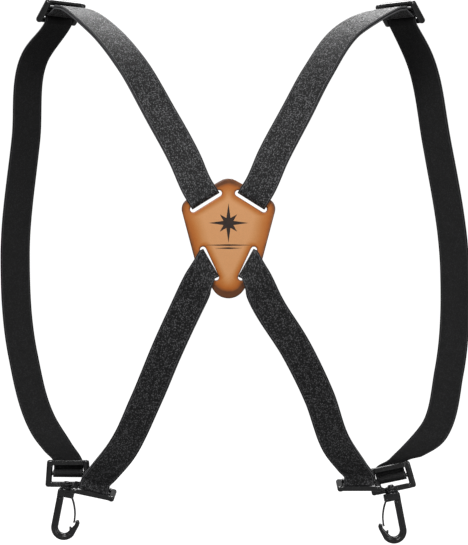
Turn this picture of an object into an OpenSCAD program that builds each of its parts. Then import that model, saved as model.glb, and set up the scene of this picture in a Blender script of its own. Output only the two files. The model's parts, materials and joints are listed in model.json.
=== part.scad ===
// Four-point binocular harness: a leather shield worn between the shoulder blades,
// doubled elastic straps through its four slots, a slider on each shoulder, and at
// each hip two buckles that share one swivel post with a snap hook below it.
// +Z is up, the wearer is at +Y, and the origin is on the rear face of the shield.
// Sides are made as the right-hand side and mirrored; [left, right] pairs differ a little.

/* [Webbing] */
// Width of every strap
strap_w = 25; // [20:1:30]
// Thickness of the webbing
web_t = 1.6; // [1.2:0.1:2]
// Air between two layers of webbing
layer_gap = 0.4; // [0.3:0.1:1]

/* [Leather shield] */
// Width across the shoulders of the shield
yoke_w = 73; // [62:1:90]
// Height of the shield
yoke_h = 93.4; // [78:0.2:112]
// Thickness of the leather
leather_t = 3; // [2.4:0.1:4]
// Width of the four slots
slot_w = 4.8; // [4:0.1:6]
// Length of each slot beyond the strap that runs through it
slot_spare = 3.5; // [2:0.5:5]
// How far below the top of the shield the upper slots lie
upper_slot_drop = 17.7; // [16:0.1:22]
// How far above the bottom of the shield the lower slots lie
lower_slot_rise = 27.2; // [24:0.1:31]
// Leather left between the upper slots
upper_bridge = 10.8; // [8:0.1:16]
// Leather left between the lower slots
lower_bridge = 17.6; // [12:0.1:22]

/* [Worn shape] */
// How far each shoulder slider stands out from the middle
crest_x = [138, 141]; // [110:1:170]
// Height of the shoulder sliders above the middle of the shield
crest_z = [187, 186]; // [150:1:224]
// How far the shoulder sliders lie behind the shield
crest_y = 66; // [50:1:80]
// Radius of the strap where it bends over the shoulder
crest_r = 34; // [28:1:42]
// How far each swivel stands out from the middle
clip_x = [137.5, 137.5]; // [110:0.5:170]
// Depth of the swivels below the middle of the shield
clip_z = [209, 212]; // [170:1:255]
// How far the swivels lie behind the shield
clip_y = 99; // [80:1:120]
// How far the outer straps bow out between the shoulders and the hips
outer_bow = [43, 52]; // [30:1:64]

/* [Sliders and buckles] */
// Radius of the round bars in the sliders and buckles
bar_r = 1.6; // [1.3:0.1:2]
// Distance from one bar to the next
bar_pitch = 8.5; // [8:0.5:11]
// Width of the side rails
rail_w = 4.8; // [2.6:0.2:5.8]
// Room between the strap's edge and a rail
rail_gap = 1; // [0.6:0.1:2]

/* [Swivel and hook] */
// Radius of the swivel post
post_r = 1.5; // [1.2:0.1:2]
// Radial running clearance of posts and pins
run_gap = 0.05; // [0.03:0.01:0.1]
// Length of the snap hook
hook_l = 43; // [35:1:52]
// Thickness of the hook from front to back
hook_t = 5.5; // [4.4:0.1:6.6]
// Width of the hook's bar
hook_bar = 5.4; // [4.4:0.1:6.4]
// Lean of each hook away from upright
hook_lean = 11; // [0:1:20]
// Thickness of the gate leaf
gate_t = 1.3; // [1:0.1:1.6]
// Radius of the gate pin
pin_r = 0.8; // [0.6:0.1:1]

/* [Hidden] */
$fn = 48;

LEFT = 0;
RIGHT = 1;
ring = 7;                                  // distance between rings along a strap
layer = web_t + layer_gap;                 // from one layer of webbing to the next
slot_l = strap_w + slot_spare;
wrap_r = bar_r + 0.15 + web_t / 2;         // webbing that turns round a bar
over_r = wrap_r + web_t + 0.15;            // webbing that runs over such a turn
fold_r = leather_t / 2 + 0.5 + web_t / 2;  // webbing that turns round the leather's edge
fold_in = sqrt(pow(leather_t / 2 + 0.35, 2) - pow(leather_t / 2, 2));
buckle_l = 2 * bar_pitch + 2 * bar_r;
buckle_half = strap_w / 2 + rail_gap + rail_w;
upper_slot_turn = 32;                      // turn of the upper slots, outer end down
lower_slot_turn = -65;
upper_slot_x = (upper_bridge + slot_l * cos(upper_slot_turn)) / 2;
lower_slot_x = (lower_bridge + slot_l * cos(lower_slot_turn)) / 2;
upper_slot_z = yoke_h / 2 - upper_slot_drop;
lower_slot_z = yoke_h / 2 - lower_slot_rise;
yoke_r = [12, 8.5, 15, 14];                // corners of the shield: top, shoulders, waist, bottom
shoulder_z = yoke_h / 2 - 23.7;
waist_x = yoke_w / 2 - 25;
waist_z = 32.7 - yoke_h / 2;

// Shoulder frame: across the strap, along it towards the back, and up
crest_yaw = 36;
crest_pitch = 38;
run_r = crest_r - bar_r - 0.375 * web_t;             // webbing under the slider's end bars
slide_a = 5;                               // travel of a slider each way, in degrees about the bend
spare_a = 1.3;                             // to spare at either end of that travel
dip_y = bar_pitch + 7.8 - 2 * over_r;      // a thicker strap dips further inside an end bar
dip_a = asin(dip_y / run_r);               // where the run dips under an end bar
turn_a = asin(wrap_r / run_r) + 3;         // half of the sewn turn's width
still_start = [dip_a + slide_a + spare_a, turn_a + slide_a + spare_a];  // straps that stay put: yoke side, outer side
run_end = [for (a = still_start) a + slide_a + spare_a];
still_end = [max(43, run_end[0] + slide_a + spare_a), max(27, run_end[1] + slide_a + spare_a)];

// Hip buckles, measured from the swivel: out, back, up
outer_from_clip = [[-1, 7, bar_pitch + 3.5], [0.5, 7, bar_pitch + 2.5]];
outer_turn = [0, -12];
inner_from_clip = [[-(buckle_half + 5.6), -7, -1.5], [-(buckle_half + 10.1), -7, 6.5]];
inner_turn = [-12, 0];
inner_pitch = 10;                          // front edge down

// Strap routes between their fixed ends: per cent of the way, then out and back in mm
upper_route = [[[20, -6, -6], [44, -11, -11], [69, -15, -13], [88, -11, -8]],
               [[21, -7, -7], [43, -13, -12], [65, -19, -13], [88, -19, -7]]];
lower_route = [[[14, -1, -7], [36, -3, -12], [60, -7, -12], [84, -8, -8]],
               [[15, -2, -8], [38, 2, -9], [60, 1, -7], [84, -5, -6]]];
// The outer straps' offsets are per cent of outer_bow, then mm back
outer_route = [[[7, 45, 10], [25, 73, 19], [52, 100, 17], [75, 88, 11], [92, 46, 4]],
               [[7, 30, 10], [25, 63, 17], [54, 100, 16], [78, 95, 9], [92, 70, 3]]];

// Along the swivel's axis, from the washer of the hook at 0
ring_t = 2;                                // thickness of an eyelet
ring_z = [0.3, 0.6 + ring_t];              // where the inner and the outer eyelet start
rivet_z = ring_z[1] + ring_t + 0.2;        // where the upper rivet head starts
rivet_t = 1.4;
roof_t = 4.6;                              // roof of the hook's head
washer_t = 2;
post_top = rivet_z + rivet_t;
post_bottom = -(roof_t + 0.2 + rivet_t);
head_r = post_r + 1.1;
washer_r = head_r + 2.9;
hook_head = 7;
bend_r = 10.6;
bend = [-4.5, -(hook_l - bend_r)];
gate_at = [-(head_r + run_gap + 2.95), -4.9];
gate_w = hook_t - 1.5;
knuckle_r = pin_r + 1.1;
gate_tip = [bend[0] - 7.7, bend[1] + 6];

function unit(v) = v / norm(v);
function mix(a, b, t) = a + (b - a) * t;
function turn_x(a, p) = [p[0], p[1] * cos(a) - p[2] * sin(a), p[1] * sin(a) + p[2] * cos(a)];
function turn_y(a, p) = [p[0] * cos(a) + p[2] * sin(a), p[1], p[2] * cos(a) - p[0] * sin(a)];
function turn_z(a, p) = [p[0] * cos(a) - p[1] * sin(a), p[0] * sin(a) + p[1] * cos(a), p[2]];
function flip(list) = [for (i = [len(list) - 1:-1:0]) list[i]];
function arc(c, r, a0, a1, n) = [for (i = [0:n]) c + r * [cos(mix(a0, a1, i / n)), sin(mix(a0, a1, i / n))]];

// Places of the frames on one side, drawn as the right-hand side
function crest_dir(p) = turn_z(-crest_yaw, turn_x(-crest_pitch, p));
function on_crest(k, p) = [crest_x[k], crest_y, crest_z[k]] + crest_dir(p);
function crest_arc(k, r, a) = on_crest(k, [0, r * sin(a), r * cos(a) - crest_r]);
function clip_at(k) = [clip_x[k], clip_y, -clip_z[k]];
function outer_at(k) = clip_at(k) + outer_from_clip[k];
function inner_at(k) = clip_at(k) + inner_from_clip[k];

// A smooth line through points of any spacing. An entry is [point, across, skew]:
// with no skew the strap is cut square to its line, and with 1 its width keeps to across
function slope(p, i) =
    let (n = len(p) - 1)
    i == 0 ? unit(p[1][0] - p[0][0]) :
    i == n ? unit(p[n][0] - p[n - 1][0]) :
    let (a = norm(p[i][0] - p[i - 1][0]), b = norm(p[i + 1][0] - p[i][0]))
    (b * (p[i][0] - p[i - 1][0]) / a + a * (p[i + 1][0] - p[i][0]) / b) / (a + b);
function between(p, i, t) =
    let (h = norm(p[i + 1][0] - p[i][0]), t2 = t * t, t3 = t2 * t)
    (2 * t3 - 3 * t2 + 1) * p[i][0] + (t3 - 2 * t2 + t) * h * slope(p, i)
    + (3 * t2 - 2 * t3) * p[i + 1][0] + (t3 - t2) * h * slope(p, i + 1);
function smooth(p) = concat([for (i = [0:len(p) - 2])
    let (cuts = max(1, round(norm(p[i + 1][0] - p[i][0]) / ring)))
    for (j = [0:cuts - 1])
        [between(p, i, j / cuts), unit(mix(p[i][1], p[i + 1][1], j / cuts)), mix(p[i][2], p[i + 1][2], j / cuts)]],
    [p[len(p) - 1]]);
// Direction, width vector and face vector at each ring
function heading(s, i) = unit(s[min(i + 1, len(s) - 1)][0] - s[max(i - 1, 0)][0]);
function width_at(q, t) = unit(q[1] - (1 - q[2]) * (q[1] * t) * t);
function frames(s) = [for (i = [0:len(s) - 1])
    let (t = heading(s, i), w = width_at(s[i], t)) [s[i][0], w, unit(cross(w, t))]];
// The same line moved off its face, by off0 at the start that eases to off over some mm, and to off1
function eased(s, off0, off, off1, ease) = let (f = frames(s), n = len(f) - 1) [for (i = [0:n])
    let (a = min(1, i * ring / ease), b = min(1, (n - i) * ring / ease),
         d = off + (off0 - off) * pow(1 - a * a, 2) + (off1 - off) * (1 - b) * (1 - b))
    [f[i][0] + d * f[i][2], f[i][1], 1]];

// A strap of webbing along a line of [point, across, skew]; closed joins its end to its start
module ribbon(line, closed = false) {
    n = len(line);
    f = [for (i = [0:n - 1]) let (
        a = line[closed ? (i + n - 1) % n : max(i - 1, 0)][0],
        b = line[closed ? (i + 1) % n : min(i + 1, n - 1)][0],
        w = width_at(line[i], unit(b - a)))
        [line[i][0], w * strap_w / 2, unit(cross(w, unit(b - a))) * web_t / 2]];
    points = [for (q = f) each [q[0] - q[1] - q[2], q[0] + q[1] - q[2], q[0] + q[1] + q[2], q[0] - q[1] + q[2]]];
    last = closed ? n - 1 : n - 2;
    sides = [for (i = [0:last]) for (j = [0:3])
        let (a = 4 * i + j, b = 4 * i + (j + 1) % 4, c = 4 * ((i + 1) % n) + j, d = 4 * ((i + 1) % n) + (j + 1) % 4)
        each [[a, b, d], [a, d, c]]];
    ends = closed ? [] : [[0, 3, 2], [0, 2, 1],
                          [4 * n - 4, 4 * n - 3, 4 * n - 2], [4 * n - 4, 4 * n - 2, 4 * n - 1]];
    polyhedron(points = points, faces = concat(sides, ends), convexity = 8);
}

// A slot of the shield: its middle, the way it runs and the way the strap leaves it
function slot_mid(up) = up ? [upper_slot_x, 0, upper_slot_z] : [lower_slot_x, 0, -lower_slot_z];
function slot_along(up) = up ? [cos(upper_slot_turn), 0, -sin(upper_slot_turn)]
                             : [cos(lower_slot_turn), 0, -sin(lower_slot_turn)];
function slot_out(up) = up ? [sin(upper_slot_turn), 0, cos(upper_slot_turn)]
                           : [-sin(lower_slot_turn), 0, -cos(lower_slot_turn)];
function fold_mid(up) = slot_mid(up) + slot_out(up) * (slot_w / 2 + fold_in) - [0, leather_t / 2, 0];
function fold(up) = [for (a = [75:-15:-75])
    [fold_mid(up) - slot_out(up) * fold_r * cos(a) + [0, fold_r * sin(a), 0], slot_along(up), 1]];

// Middle line of a route from the shield to the frame at its far end
function via(a, b, list) = [for (q = list) mix(a, b, q[0] / 100) + [q[1], q[2], 0]];
function upper_mid(k) =
    let (a = fold_mid(true), b = crest_arc(k, run_r - 1.5 * layer, -still_end[0]), w = crest_dir([1, 0, 0]))
    smooth(concat([[a, slot_along(true), 1], [a + 8 * slot_out(true), slot_along(true), 0.8]],
        [for (i = [0:3]) [via(a, b, upper_route[k])[i], mix(slot_along(true), w, (i + 1) / 5), 0]],
        [for (i = [0:4]) [crest_arc(k, run_r - 1.5 * layer, -mix(still_end[0], still_start[0], i / 4)), w, 0]]));
module upper_strap(k) {
    mid = upper_mid(k);
    ribbon(concat(flip(eased(mid, -fold_r, -layer / 2, -layer / 2, 45)), fold(true),
                  eased(mid, fold_r, layer / 2, layer / 2, 45)));
}

// Outer strap: from behind the slider down to a sewn turn round the outer buckle's middle bar
function on_outer(k, p) = outer_at(k) + turn_y(outer_turn[k], p);
function bowed(k) = [for (q = outer_route[k]) [q[0], q[1] / 100 * outer_bow[k], q[2]]];
function outer_line(k) =
    let (a = crest_arc(k, run_r - layer, still_end[1]), w = crest_dir([1, 0, 0]),
         x = turn_y(outer_turn[k], [1, 0, 0]), back = bar_r + 0.8 + web_t / 2,
         b = on_outer(k, [0, back, bar_pitch]), v = via(a, b, bowed(k)))
    smooth(concat([for (i = [0:4]) [crest_arc(k, run_r - layer, mix(still_start[1], still_end[1], i / 4)), w, 1]],
        [for (i = [0:4]) [v[i], mix(w, x, (i + 1) / 6), i == 4 ? 0.2 : 0]],
        [[b + 12 * unit(v[4] - b), x, 0.8], [b, x, 1]],
        [for (q = arc([0, 0], wrap_r, 50, 360, 12)) [on_outer(k, [0, q[0], q[1]]), x, 1]],
        [for (z = [0.6, 1, 1.7]) [on_outer(k, [0, back + layer, bar_pitch * z]), x, 1]]));
module outer_strap(k) ribbon(outer_line(k));

// Lower strap: a doubled loop from the shield round the inner buckle's middle bar
function on_inner(k, p) = inner_at(k) + turn_y(inner_turn[k], turn_x(inner_pitch, p));
function lower_mid(k) =
    let (a = fold_mid(false), b = on_inner(k, [0, 0, 8]), x = turn_y(inner_turn[k], [1, 0, 0]),
         v = via(a, b, lower_route[k]), away = v[0] - a)
    smooth(concat([[a, slot_along(false), 1], [a + 12 * unit([away[0], 0, away[2]]), slot_along(false), 0.7]],
        [for (i = [0:3]) [v[i], mix(slot_along(false), x, (i + 1) / 5), i == 3 ? 0.3 : 0]],
        [[b, x, 1], [on_inner(k, [0, 0, 0]), x, 1]]));
module lower_strap(k) {
    mid = lower_mid(k);
    x = turn_y(inner_turn[k], [1, 0, 0]);
    ribbon(concat(eased(mid, -fold_r, -layer / 2, -wrap_r, 45),
        [for (q = arc([0, 0], wrap_r, 195, 345, 9)) [on_inner(k, [0, q[0], q[1]]), x, 1]],
        flip(eased(mid, fold_r, layer / 2, wrap_r, 45)), fold(false)), closed = true);
}

// The length of strap that a slider carries over its middle bar
module slider_run(k) {
    tail = function (end, way) [for (i = [0:4])
        let (t = mix(dip_a, end, i / 4)) [run_r * sin(way * t), run_r * cos(t) - crest_r]];
    line = concat(flip(tail(run_end[0], -1)), arc([0, 0], over_r, 170, 10, 10), tail(run_end[1], 1));
    ribbon([for (q = line) [on_crest(k, [0, q[0], q[1]]), crest_dir([1, 0, 0]), 1]]);
}

// The strap's sewn end, turned once round the slider's middle bar
module sewn_turn(k) {
    line = concat([[1 - bar_pitch, -wrap_r - layer - 0.7], [-5, -wrap_r - layer + 0.2]],
                  arc([0, 0], wrap_r, 255, 560, 14));
    ribbon([for (q = line) [on_crest(k, [0, q[0], q[1]]), crest_dir([1, 0, 0]), 1]]);
}

// Three bars between two rails, lying flat: bars run along X
module three_bars(splay) {
    for (i = [-1:1])
        translate([0, i * bar_pitch, 0]) rotate([0, 90, 0])
            cylinder(r = bar_r, h = strap_w + 2 * rail_gap + rail_w, center = true);
    for (m = [0, 1]) mirror([m, 0, 0])
        translate([strap_w / 2 + rail_gap + rail_w / 2, 0, 0]) rotate([0, 0, splay])
            linear_extrude(height = 2 * bar_r + 1, center = true) pill(buckle_l + 1, rail_w);
}
// A strip with round ends, along Y
module pill(length, width) {
    square([width, length - width], center = true);
    for (y = [-1, 1]) translate([0, y * (length - width) / 2]) circle(d = width);
}

module on_clip(k) { translate(clip_at(k)) rotate([0, -hook_lean, 0]) children(); }
module bore(k) { on_clip(k) translate([0, 0, -20]) cylinder(r = post_r + run_gap, h = 40); }
module eyelet(k, z) { on_clip(k) translate([0, 0, z]) cylinder(r = head_r + 2, h = ring_t); }

module slider_body(k) {
    translate([crest_x[k], crest_y, crest_z[k]]) rotate([0, 0, -crest_yaw]) rotate([-crest_pitch, 0, 0])
        three_bars(0);
}

module outer_buckle(k) {
    difference() {
        union() {
            translate(outer_at(k)) rotate([0, outer_turn[k], 0]) rotate([90, 0, 0]) three_bars(4);
            eyelet(k, ring_z[1]);
            hull() {
                on_clip(k) translate([0, head_r + 1.6, ring_z[1] + ring_t / 2]) cube([5, 1, ring_t], center = true);
                translate(on_outer(k, [-outer_from_clip[k][0], 0, 1 - bar_pitch])) cube([6, 2, 1.6], center = true);
            }
        }
        bore(k);
    }
}

module inner_buckle(k) {
    arm_z = ring_z[0] + ring_t / 2;
    corner = on_inner(k, [buckle_half, -bar_pitch * 0.6, 0]);
    elbow = clip_at(k) + turn_y(-hook_lean, [-(head_r + 4.6), -2.8, arm_z - 0.1]);
    difference() {
        union() {
            translate(inner_at(k)) rotate([0, inner_turn[k], 0]) rotate([inner_pitch, 0, 0]) three_bars(0);
            eyelet(k, ring_z[0]);
            hull() {
                translate(corner) sphere(r = 1.7, $fn = 24);
                translate(elbow) sphere(r = 1.4, $fn = 24);
            }
            hull() {
                translate(elbow) sphere(r = 1.4, $fn = 24);
                on_clip(k) translate([-head_r - 1, -1, arm_z]) sphere(r = 0.95, $fn = 24);
            }
        }
        bore(k);
    }
}

module swivel_post(k) {
    on_clip(k) {
        translate([0, 0, post_bottom]) cylinder(r = post_r, h = post_top - post_bottom);
        for (z = [rivet_z, post_bottom]) translate([0, 0, z]) cylinder(r = head_r, h = rivet_t);
    }
}

// Outline of the open hook, seen from the front: X out to the spine, Z along the axis
hook_outline = concat([[bend[0] + bend_r, -1]],
    arc(bend, bend_r, 0, -150, 20),
    [for (q = [[-12.1, 3.4], [-12.3, 5.8], [-11.3, 7.8], [-9.7, 8.4], [-8.7, 7], [-8.6, 4]]) bend + q],
    arc(bend, bend_r - hook_bar, -150, 0, 12),
    [[bend[0] + bend_r - hook_bar, -1]]);

module hook(k) {
    on_clip(k) difference() {
        union() {
            rotate([90, 0, 0]) linear_extrude(height = hook_t, center = true) polygon(hook_outline);
            translate([0, 0, -washer_t]) cylinder(r = washer_r, h = washer_t);
            translate([gate_at[0] - knuckle_r, -hook_t / 2 - 1, -hook_head])
                cube([bend[0] + bend_r - gate_at[0] + knuckle_r, hook_t + 2, hook_head - washer_t / 2]);
        }
        translate([0, 0, -20]) cylinder(r = post_r + run_gap, h = 40);
        translate([0, 0, -hook_head - 1]) cylinder(r = head_r + 0.3, h = hook_head + 1 - roof_t);
        translate([gate_at[0] - 5, -gate_w / 2 - 0.3, -hook_head - 1])
            cube([5 + knuckle_r + 0.3, gate_w + 0.6, hook_head + 1 + gate_at[1] + knuckle_r + 0.3]);
        translate([gate_at[0], 0, gate_at[1]]) rotate([90, 0, 0])
            cylinder(r = pin_r + run_gap, h = hook_t + 4, center = true);
    }
}

// Spring leaf that closes the hook, turning on a pin in the hook's head
gate_line = [for (q = [gate_at, mix(gate_at, gate_tip, 0.31) - [1.4, 0], mix(gate_at, gate_tip, 0.66) - [1.5, 0],
                       gate_tip]) [q]];
function leaf_side(d) = let (s = smooth_gate()) [for (i = [0:len(s) - 1])
    let (t = unit(s[min(i + 1, len(s) - 1)] - s[max(i - 1, 0)])) s[i] + d * [t[1], -t[0]]];
function smooth_gate() = concat([for (i = [0:2]) for (j = [0:4]) between(gate_line, i, j / 5)], [gate_tip]);

module gate(k) {
    on_clip(k) difference() {
        rotate([90, 0, 0]) linear_extrude(height = gate_w, center = true) {
            polygon(concat(leaf_side(gate_t / 2), flip(leaf_side(-gate_t / 2))));
            translate(gate_at) circle(r = knuckle_r);
        }
        translate([gate_at[0], 0, gate_at[1]]) rotate([90, 0, 0])
            cylinder(r = pin_r + run_gap, h = hook_t + 4, center = true);
    }
}

module gate_pin(k) {
    on_clip(k) translate([gate_at[0], 0, gate_at[1]]) rotate([90, 0, 0])
        cylinder(r = pin_r, h = hook_t + 2, center = true);
}

// The leather shield
module yoke() {
    color("peru") rotate([90, 0, 0]) linear_extrude(height = leather_t) difference() {
        hull() {
            translate([0, yoke_h / 2 - yoke_r[0]]) circle(r = yoke_r[0]);
            translate([0, yoke_r[3] - yoke_h / 2]) circle(r = yoke_r[3]);
            for (s = [-1, 1]) {
                translate([s * (yoke_w / 2 - yoke_r[1]), shoulder_z]) circle(r = yoke_r[1]);
                translate([s * waist_x, waist_z]) circle(r = yoke_r[2]);
            }
        }
        for (m = [0, 1]) mirror([m, 0]) {
            translate([upper_slot_x, upper_slot_z]) rotate(90 - upper_slot_turn) pill(slot_l, slot_w);
            translate([lower_slot_x, -lower_slot_z]) rotate(90 - lower_slot_turn) pill(slot_l, slot_w);
        }
    }
}

module on_side(k) { mirror([k == LEFT ? 1 : 0, 0, 0]) children(); }

yoke();
color("dimgray") on_side(LEFT) upper_strap(LEFT);  // left_upper_strap
color("dimgray") on_side(RIGHT) upper_strap(RIGHT);  // right_upper_strap
color("dimgray") on_side(LEFT) outer_strap(LEFT);  // left_outer_strap
color("dimgray") on_side(RIGHT) outer_strap(RIGHT);  // right_outer_strap
color("dimgray") on_side(LEFT) lower_strap(LEFT);  // left_lower_strap
color("dimgray") on_side(RIGHT) lower_strap(RIGHT);  // right_lower_strap
color("black") on_side(LEFT) slider_body(LEFT);  // left_slider
color("black") on_side(RIGHT) slider_body(RIGHT);  // right_slider
color("dimgray") on_side(LEFT) slider_run(LEFT);  // left_slider_run
color("dimgray") on_side(RIGHT) slider_run(RIGHT);  // right_slider_run
color("dimgray") on_side(LEFT) sewn_turn(LEFT);  // left_sewn_turn
color("dimgray") on_side(RIGHT) sewn_turn(RIGHT);  // right_sewn_turn
color("black") on_side(LEFT) outer_buckle(LEFT);  // left_outer_buckle
color("black") on_side(RIGHT) outer_buckle(RIGHT);  // right_outer_buckle
color("black") on_side(LEFT) inner_buckle(LEFT);  // left_inner_buckle
color("black") on_side(RIGHT) inner_buckle(RIGHT);  // right_inner_buckle
color("silver") on_side(LEFT) swivel_post(LEFT);  // left_swivel_post
color("silver") on_side(RIGHT) swivel_post(RIGHT);  // right_swivel_post
color("black") on_side(LEFT) hook(LEFT);  // left_hook
color("black") on_side(RIGHT) hook(RIGHT);  // right_hook
color("dimgray") on_side(LEFT) gate(LEFT);  // left_gate
color("dimgray") on_side(RIGHT) gate(RIGHT);  // right_gate
color("silver") on_side(LEFT) gate_pin(LEFT);  // left_gate_pin
color("silver") on_side(RIGHT) gate_pin(RIGHT);  // right_gate_pin
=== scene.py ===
import json
import math

import bpy
import numpy as np
from mathutils import Matrix, Vector


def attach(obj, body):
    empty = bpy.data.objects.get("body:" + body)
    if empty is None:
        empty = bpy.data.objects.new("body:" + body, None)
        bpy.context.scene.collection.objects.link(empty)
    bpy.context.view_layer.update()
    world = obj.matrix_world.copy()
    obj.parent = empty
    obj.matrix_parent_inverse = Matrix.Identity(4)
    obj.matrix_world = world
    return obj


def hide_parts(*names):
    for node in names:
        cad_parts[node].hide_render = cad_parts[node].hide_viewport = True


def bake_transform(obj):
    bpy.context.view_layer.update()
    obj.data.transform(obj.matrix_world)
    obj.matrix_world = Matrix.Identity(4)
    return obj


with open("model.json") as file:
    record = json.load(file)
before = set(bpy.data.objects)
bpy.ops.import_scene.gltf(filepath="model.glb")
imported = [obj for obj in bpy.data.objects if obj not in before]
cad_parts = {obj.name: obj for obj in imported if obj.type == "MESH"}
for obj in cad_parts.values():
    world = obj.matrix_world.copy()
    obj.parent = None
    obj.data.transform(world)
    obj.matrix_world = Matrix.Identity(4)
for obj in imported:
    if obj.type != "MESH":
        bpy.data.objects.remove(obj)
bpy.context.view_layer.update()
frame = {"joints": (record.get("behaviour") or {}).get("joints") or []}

mm = 0.001
sides = ["left", "right"]
joints = {j["name"]: j for j in frame["joints"]}

# shared sizes, in mm, as the harness is built
webbing = dict(width=25, thick=1.6, gap=0.4, barGap=0.15, step=2.6, columns=14, edge=0.45, drop=4.4,
               sideTrim=0.05, faceTrim=0.12, shoulderTack=27, hipTack=7)
shield = dict(width=73, height=93.4, thick=3, slotWide=4.8, slotSpare=3.5,
              upperSlot=(17.5, 29, 32), lowerSlot=(14.8, -19.5, -65),
              foldGap=0.5, foldSeat=0.35, foldSkew=0.08, foldOver=1.5, upperStraight=8, lowerStraight=12)
shoulder = dict(radius=34, yaw=36, pitch=38, barRadius=1.6, barPitch=8.5, runGap=0.6, dipPart=0.957,
                stillEnd=43)
hip = dict(outerFromClip=((-1, 7, 12), (0.5, 7, 11)), outerTurn=(0, -12), outerBulge=(0, 2),
           outerBack=0.8, outerStraight=16, sewnTail=(0.5, 0.8, 1.0), lean=11,
           innerFromClip=((-23.9, -7, -1.5), (-28.4, -7, 6.5)), innerTurn=(-12, 0), innerPitch=10,
           innerStraight=12, innerEnd=8)
routes = dict(
    upper=(((20, -6, -6), (44, -11, -11), (69, -15, -13), (88, -11, -8)),
           ((21, -7, -7), (43, -13, -12), (65, -19, -13), (88, -19, -7))),
    lower=(((14, -1, -7), (36, -3, -12), (60, -7, -12), (84, -8, -8)),
           ((15, -2, -8), (38, 2, -9), (60, 1, -7), (84, -5, -6))),
    outer=(((7, 49, 10), (25, 73, 19), (52, 100, 17), (75, 88, 11), (92, 46, 4)),
           ((7, 30, 10), (25, 63, 17), (54, 100, 16), (78, 95, 9), (92, 70, 3))),
    outerBow=(43, 52))

layer = webbing["thick"] + webbing["gap"]
wrapRadius = shoulder["barRadius"] + webbing["barGap"] + webbing["thick"] / 2
overRadius = wrapRadius + webbing["thick"] + webbing["barGap"]
foldRadius = shield["thick"] / 2 + shield["foldGap"] + webbing["thick"] / 2
foldIn = math.sqrt((shield["thick"] / 2 + shield["foldSeat"]) ** 2 - (shield["thick"] / 2) ** 2)
runRadius = shoulder["radius"] - shoulder["barRadius"] - shoulder["runGap"]
dipHeight = runRadius * shoulder["dipPart"] - shoulder["radius"]


# places on the harness
def turned(axis, degrees, point):
    return Matrix.Rotation(math.radians(degrees), 3, axis) @ Vector(point)


def clipAt(k):
    p = Vector(joints[sides[k] + "_hook_swivel"]["pos_m"]) / mm
    return Vector((abs(p.x), p.y, p.z))


def crestDir(point):
    return turned("Z", -shoulder["yaw"], turned("X", -shoulder["pitch"], point))


def crestAt(k):                      # middle of the slider: the joint's centre plus the bend's radius
    p = Vector(joints[sides[k] + "_slider_travel"]["pos_m"]) / mm
    return Vector((abs(p.x), p.y, p.z)) + crestDir((0, 0, shoulder["radius"]))


def onCrest(k, u, n):
    return crestAt(k) + crestDir((0, u, n))


def crestArc(k, radius, degrees):
    a = math.radians(degrees)
    return onCrest(k, radius * math.sin(a), radius * math.cos(a) - shoulder["radius"])


def onOuter(k, point):
    return clipAt(k) + Vector(hip["outerFromClip"][k]) + turned("Y", hip["outerTurn"][k], point)


def onInner(k, point):
    tipped = turned("X", hip["innerPitch"], point)
    return clipAt(k) + Vector(hip["innerFromClip"][k]) + turned("Y", hip["innerTurn"][k], tipped)


def slotPlace(upper):                # middle, the way it runs, the way the strap leaves
    x, z, turn = shield["upperSlot"] if upper else shield["lowerSlot"]
    a = math.radians(turn)
    along = Vector((math.cos(a), 0, -math.sin(a)))
    out = Vector((math.sin(a), 0, math.cos(a))) if upper else Vector((-math.sin(a), 0, -math.cos(a)))
    if not upper:
        along = (along + shield["foldSkew"] * out).normalized()
    return Vector((x, 0, z)), along, out


def foldMiddle(upper):
    middle, _, out = slotPlace(upper)
    reach = shield["slotWide"] / 2 + foldIn - (0 if upper else shield["foldOver"])
    return middle + out * reach - Vector((0, shield["thick"] / 2, 0))


# lines that a strap follows: [point, across, skew]
def slopes(points):
    last = len(points) - 1
    out = []
    for i, p in enumerate(points):
        if i == 0 or i == last:
            j = min(max(i, 1), last)
            out.append((points[j] - points[j - 1]).normalized())
            continue
        a, b = p - points[i - 1], points[i + 1] - p
        out.append((a * b.length / a.length + b * a.length / b.length) / (a.length + b.length))
    return out


def smoothLine(entries, step):
    points = [e[0] for e in entries]
    m = slopes(points)
    out = []
    for i in range(len(entries) - 1):
        h = (points[i + 1] - points[i]).length
        cuts = max(1, round(h / step))
        for j in range(cuts):
            t = j / cuts
            p = ((2 * t**3 - 3 * t**2 + 1) * points[i] + (t**3 - 2 * t**2 + t) * h * m[i]
                 + (3 * t**2 - 2 * t**3) * points[i + 1] + (t**3 - t**2) * h * m[i + 1])
            across = entries[i][1].lerp(entries[i + 1][1], t).normalized()
            out.append([p, across, entries[i][2] * (1 - t) + entries[i + 1][2] * t])
    return out + [list(entries[-1])]


def framed(line, closed=False):
    out = []
    n = len(line)
    for i, (p, across, skew) in enumerate(line):
        before = line[i - 1] if closed or i else line[0]
        after = line[(i + 1) % n] if closed else line[min(i + 1, n - 1)]
        t = (after[0] - before[0]).normalized()
        w = (across - (1 - skew) * across.dot(t) * t).normalized()
        out.append((p, w, w.cross(t).normalized(), t))
    return out


def runAlong(f):                     # how far each place is along its line
    run = [0.0]
    for i in range(1, len(f)):
        run.append(run[-1] + (f[i][0] - f[i - 1][0]).length)
    return run


def easedOff(line, first, middle, last, ease=45):    # the same line moved off its face
    f = framed(line)
    run = runAlong(f)
    out = []
    for (p, w, n, t), s in zip(f, run):
        a, b = min(1, s / ease), min(1, (run[-1] - s) / ease)
        d = middle + (first - middle) * (1 - a * a) ** 2 + (last - middle) * (1 - b) ** 2
        out.append([p + d * n, w, 1])
    return out


def viaPoints(a, b, k, name):
    bow = routes["outerBow"][k] / 100 if name == "outer" else 1
    return [a.lerp(b, t / 100) + Vector((out * bow, back, 0)) for t, out, back in routes[name][k]]


def arcPoints(radius, start, end, count):
    angles = [math.radians(start + (end - start) * i / count) for i in range(count + 1)]
    return [(radius * math.cos(a), radius * math.sin(a)) for a in angles]


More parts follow.
